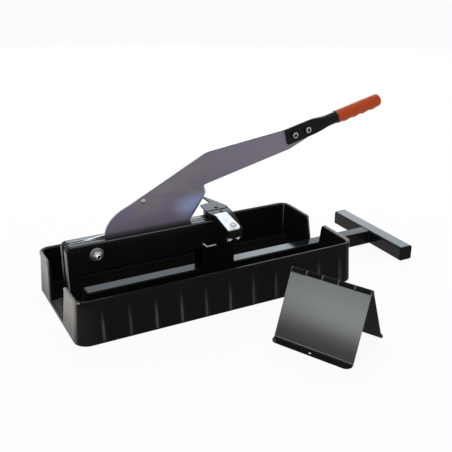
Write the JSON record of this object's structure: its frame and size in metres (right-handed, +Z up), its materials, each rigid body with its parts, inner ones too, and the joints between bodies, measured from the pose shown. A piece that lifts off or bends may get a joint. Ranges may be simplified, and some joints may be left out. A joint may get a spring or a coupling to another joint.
{
  "type": "laminate flooring cutter",
  "caption": "Lever shear for laminate planks: a steel blade and long handle on a formed beam in a moulded tray, with a sliding T-bar stabiliser and a folding plank stand",
  "frame": {"origin": "middle of the tray's underside, on the ground", "axes": "+X along the tray from the blade pivot toward the handle and the T-bar, +Y away from the front, +Z up"},
  "size_m": [0.7828, 0.5615, 0.363],
  "materials": {
    "black_plastic": "moulded, fine texture",
    "black_paint": "semi-gloss powder coat",
    "cap_plastic": "moulded",
    "blade_steel": "satin ground",
    "bar_steel": "bright ground",
    "zinc": "zinc plated",
    "dark_steel": "black oxide",
    "orange_grip": "dipped vinyl, satin"
  },
  "bodies": {
    "base": {"tray": "black_plastic", "front_cheek": "black_paint", "rear_cheek": "black_paint", "front_shear_bar": "bar_steel", "rear_shear_bar": "bar_steel", "end_spacer": "black_paint", "nose_spacer": "black_paint", "foot_screw_front_left": "dark_steel", "foot_screw_front_right": "dark_steel", "foot_screw_rear_left": "dark_steel", "foot_screw_rear_right": "dark_steel", "pivot_bolt": "zinc", "pivot_nut": "zinc", "pivot_washer_front": "zinc", "pivot_washer_rear": "zinc", "pivot_bush": "bar_steel", "pivot_sleeve_front": "dark_steel", "pivot_sleeve_rear": "dark_steel", "front_fence_arm": "black_paint", "rear_fence_arm": "black_paint", "front_arm_screw": "dark_steel", "rear_arm_screw": "dark_steel", "wear_plate": "zinc", "wear_plate_screw": "zinc", "clamp_bolt": "zinc", "clamp_nut": "zinc", "leg_clip": "black_paint", "leg_clip_rivet": "dark_steel", "stand_front_leaf": "black_paint", "stand_hinge_pin": "dark_steel"},
    "blade_lever": {"blade": "blade_steel", "blade_stud": "blade_steel", "blade_stud_nut": "zinc", "handle_tube": "black_paint", "grip": "orange_grip", "handle_washer_1": "zinc", "handle_washer_2": "zinc", "handle_bolt_1": "zinc", "handle_bolt_2": "zinc", "handle_nut_1": "zinc", "handle_nut_2": "zinc"},
    "stabiliser": {"stabiliser_tube": "black_paint", "stabiliser_crossbar": "black_paint", "tube_cap": "cap_plastic", "crossbar_front_cap": "cap_plastic", "crossbar_rear_cap": "cap_plastic"},
    "stand_leg": {"stand_rear_leaf": "black_paint"}
  },
  "joints": [
    {"name": "blade_pivot", "type": "hinge", "parent": "base", "child": "blade_lever", "pos_m": [-0.2215, 0.003, 0.1205], "axis": [0, 1, 0], "range_deg": [-60, 21]},
    {"name": "stabiliser_slide", "type": "slide", "parent": "base", "child": "stabiliser", "axis": [1, 0, 0], "range_m": [-0.135, 0.18]},
    {"name": "stand_hinge", "type": "hinge", "parent": "base", "child": "stand_leg", "pos_m": [0.117, -0.3154, 0.1195], "axis": [0.4415, -0.8973, 0], "range_deg": [-46, 25]}
  ]
}
